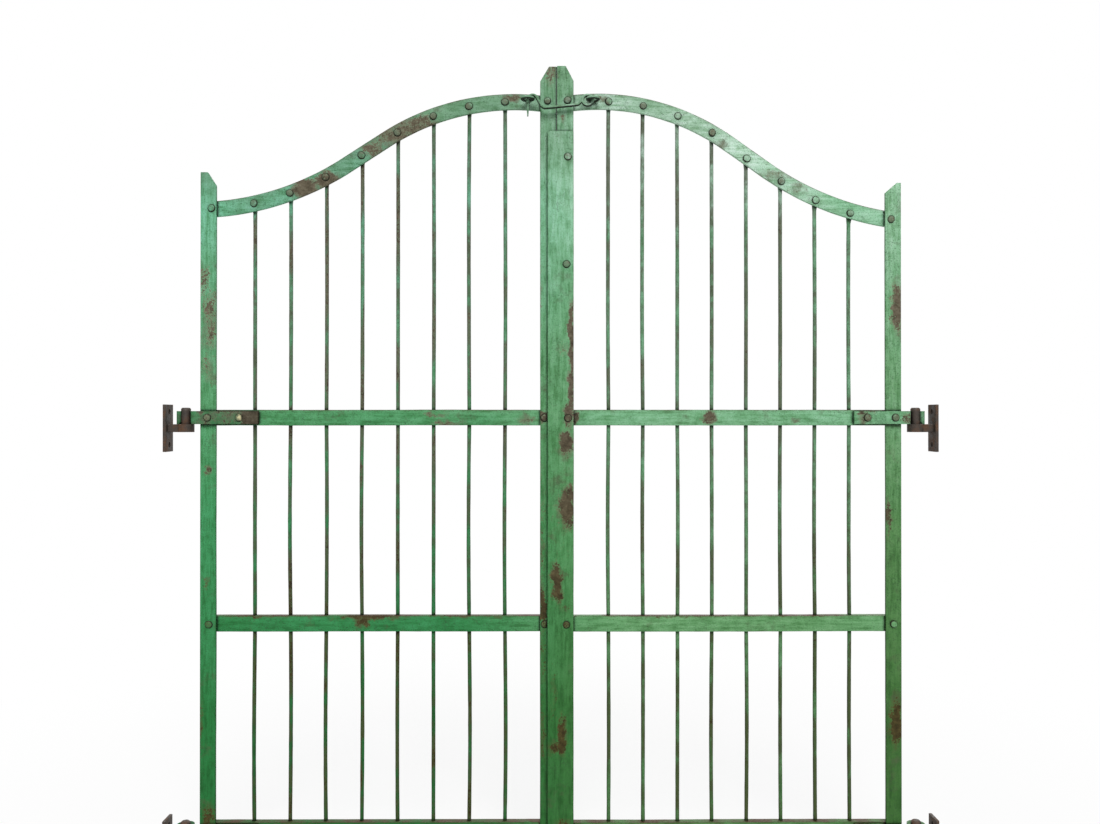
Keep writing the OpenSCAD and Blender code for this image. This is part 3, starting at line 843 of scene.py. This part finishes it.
for side in SIDES:
    leaf = side + "_leaf"
    stile_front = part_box(f"{side}_hinge_stile")[0].y
    rail_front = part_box(f"{side}_middle_rail")[0].y
    rail_back = rail_front + RAIL_FRONT_T
    neck_front, neck_back = (corner.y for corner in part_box(f"{side}_top_rail"))
    low_end_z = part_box(f"{side}_top_rail")[0].z + LOW_END_UP
    heads = []
    tails = []
    for i in BARS:
        bar = f"{side}_bar_{i}"
        heads.append((mid(bar).x, neck_front, bar_rivet_z(bar)))
        tails.append((mid(bar).x, neck_back + TONGUE_T, bar_rivet_z(bar)))
    top_x = across(f"{side}_hinge_stile", TOP_RIVET[side])
    crown_x = across(f"{side}_meeting_stile", CROWN_RIVET[side])
    lower_x = across(f"{side}_hinge_stile", LOWER_RIVET[side])
    for x, z, back in (
        (top_x, low_end_z, neck_back), (crown_x, mid(f"{side}_hook_eye").z, neck_back),
        (lower_x, mid(f"{side}_lower_rail").z, rail_back),
    ):
        heads.append((x, stile_front, z))
        tails.append((x, back, z))
    if side == "left":
        meeting_x = across("left_meeting_stile", MEETING_RIVET)
        for name in STRAIGHT_RAILS:
            heads.append((meeting_x, stile_front, mid(f"left_{name}_rail").z))
            tails.append((meeting_x, rail_back, mid(f"left_{name}_rail").z))
    else:
        strip_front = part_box("cover_strip")[0].y
        for share, z in STRIP_RIVETS:
            heads.append((across("cover_strip", share), strip_front, z))
            tails.append((across("cover_strip", share), rail_back, z))
    near, far = STRAP_RIVETS[side]
    for name in STRAP_LEVELS:
        strap_z = mid(f"{side}_{name}_hinge_strap").z
        heads.append((near, stile_front - STRAP_T, strap_z))
        heads.append((far, rail_front - STRAP_T, strap_z))
        tails.append((near, rail_back, strap_z))
        tails.append((far, rail_back, strap_z))
    head_seed, tail_seed = RIVET_SEEDS[side]
    set_rivets(side + "_rivet_heads", leaf, heads, RIVET_R, RIVET_H, head_seed)
    set_rivets(side + "_rivet_tails", leaf, tails, TAIL_R, TAIL_H, tail_seed)


# Studio

WHITE = (1.0, 1.0, 1.0, 1.0)
FLOOR_GREY = (0.80, 0.80, 0.80, 1.0)
FLOOR_CENTRE = (0.98, 0.0, 0.0)
FLOOR_X = (-5.0, 7.0)
FLOOR_Y = (-5.0, 6.0)
FLOOR_Z = cad_box[0][2] - 0.004
SKY_LIGHT = 0.20


def seen_directly(tree):
    """1 for what the camera sees, also by reflection or through glass."""
    rays = add(tree, "ShaderNodeLightPath").outputs
    seen = sum_of(tree, rays["Is Camera Ray"], rays["Is Glossy Ray"], "MAXIMUM")
    return sum_of(tree, seen, rays["Is Transmission Ray"], "MAXIMUM")


def studio_floor():
    """Pale floor that keeps the gate's shadow and fades to white far off."""
    made, tree = blank_material("studio_floor")
    where = add(tree, "ShaderNodeTexCoord").outputs["Object"]
    off = add(tree, "ShaderNodeVectorMath", {0: where, 1: FLOOR_CENTRE}, operation="SUBTRACT").outputs[0]
    far = add(tree, "ShaderNodeVectorMath", {0: off}, operation="LENGTH").outputs["Value"]
    fade = spread(tree, far, 0.8, 2.6, 0.78, 1.0, smooth=True)
    white = sum_of(tree, seen_directly(tree), fade, "MULTIPLY")
    matt = add(tree, "ShaderNodeBsdfDiffuse", {"Color": FLOOR_GREY}).outputs["BSDF"]
    glow = add(tree, "ShaderNodeEmission", {"Color": WHITE, "Strength": 1.0}).outputs["Emission"]
    both = add(tree, "ShaderNodeMixShader", {0: white, 1: matt, 2: glow}).outputs["Shader"]
    add(tree, "ShaderNodeOutputMaterial", {"Surface": both})
    return made


floor_mesh = bpy.data.meshes.new("floor")
(left_x, right_x), (front_y, back_y) = FLOOR_X, FLOOR_Y
floor_mesh.from_pydata(
    [
        (left_x, front_y, FLOOR_Z), (right_x, front_y, FLOOR_Z),
        (right_x, back_y, FLOOR_Z), (left_x, back_y, FLOOR_Z),
    ],
    [], [(0, 1, 2, 3)],
)
floor_mesh.materials.append(studio_floor())
floor = bpy.data.objects.new("floor", floor_mesh)
scene.collection.objects.link(floor)

world = bpy.data.worlds.new("studio")
scene.world = world
world.use_nodes = True
sky = world.node_tree
sky.nodes.clear()
level = spread(sky, seen_directly(sky), 0.0, 1.0, SKY_LIGHT, 1.0)
air = add(sky, "ShaderNodeBackground", {"Color": WHITE, "Strength": level})
add(sky, "ShaderNodeOutputWorld", {"Surface": air.outputs["Background"]})


def soft_sun(name, toward, strength, spread_angle):
    """Even light from one side, as from a wide soft box far off."""
    lamp = bpy.data.lights.new(name, "SUN")
    lamp.energy = strength
    lamp.angle = math.radians(spread_angle)
    holder = bpy.data.objects.new(name, lamp)
    holder.rotation_euler = Vector(toward).to_track_quat("-Z", "Y").to_euler()
    scene.collection.objects.link(holder)
    return holder


soft_sun("key_light", toward=(-0.12, 0.90, -0.92), strength=2.9, spread_angle=30.0)
soft_sun("back_light", toward=(-0.2, -0.9, -0.8), strength=1.2, spread_angle=40.0)

# Camera
camera = bpy.data.cameras.new("camera")
camera.sensor_fit = "HORIZONTAL"
camera.sensor_width = 36.0
camera.lens = 32.085
camera.dof.use_dof = False
eye = bpy.data.objects.new("camera", camera)
eye.location = (0.9624, -2.5002, 1.0809)
eye.rotation_euler = (math.radians(90.233), 0.0, math.radians(-0.318))
scene.collection.objects.link(eye)
scene.camera = eye

scene.view_settings.view_transform = "Standard"
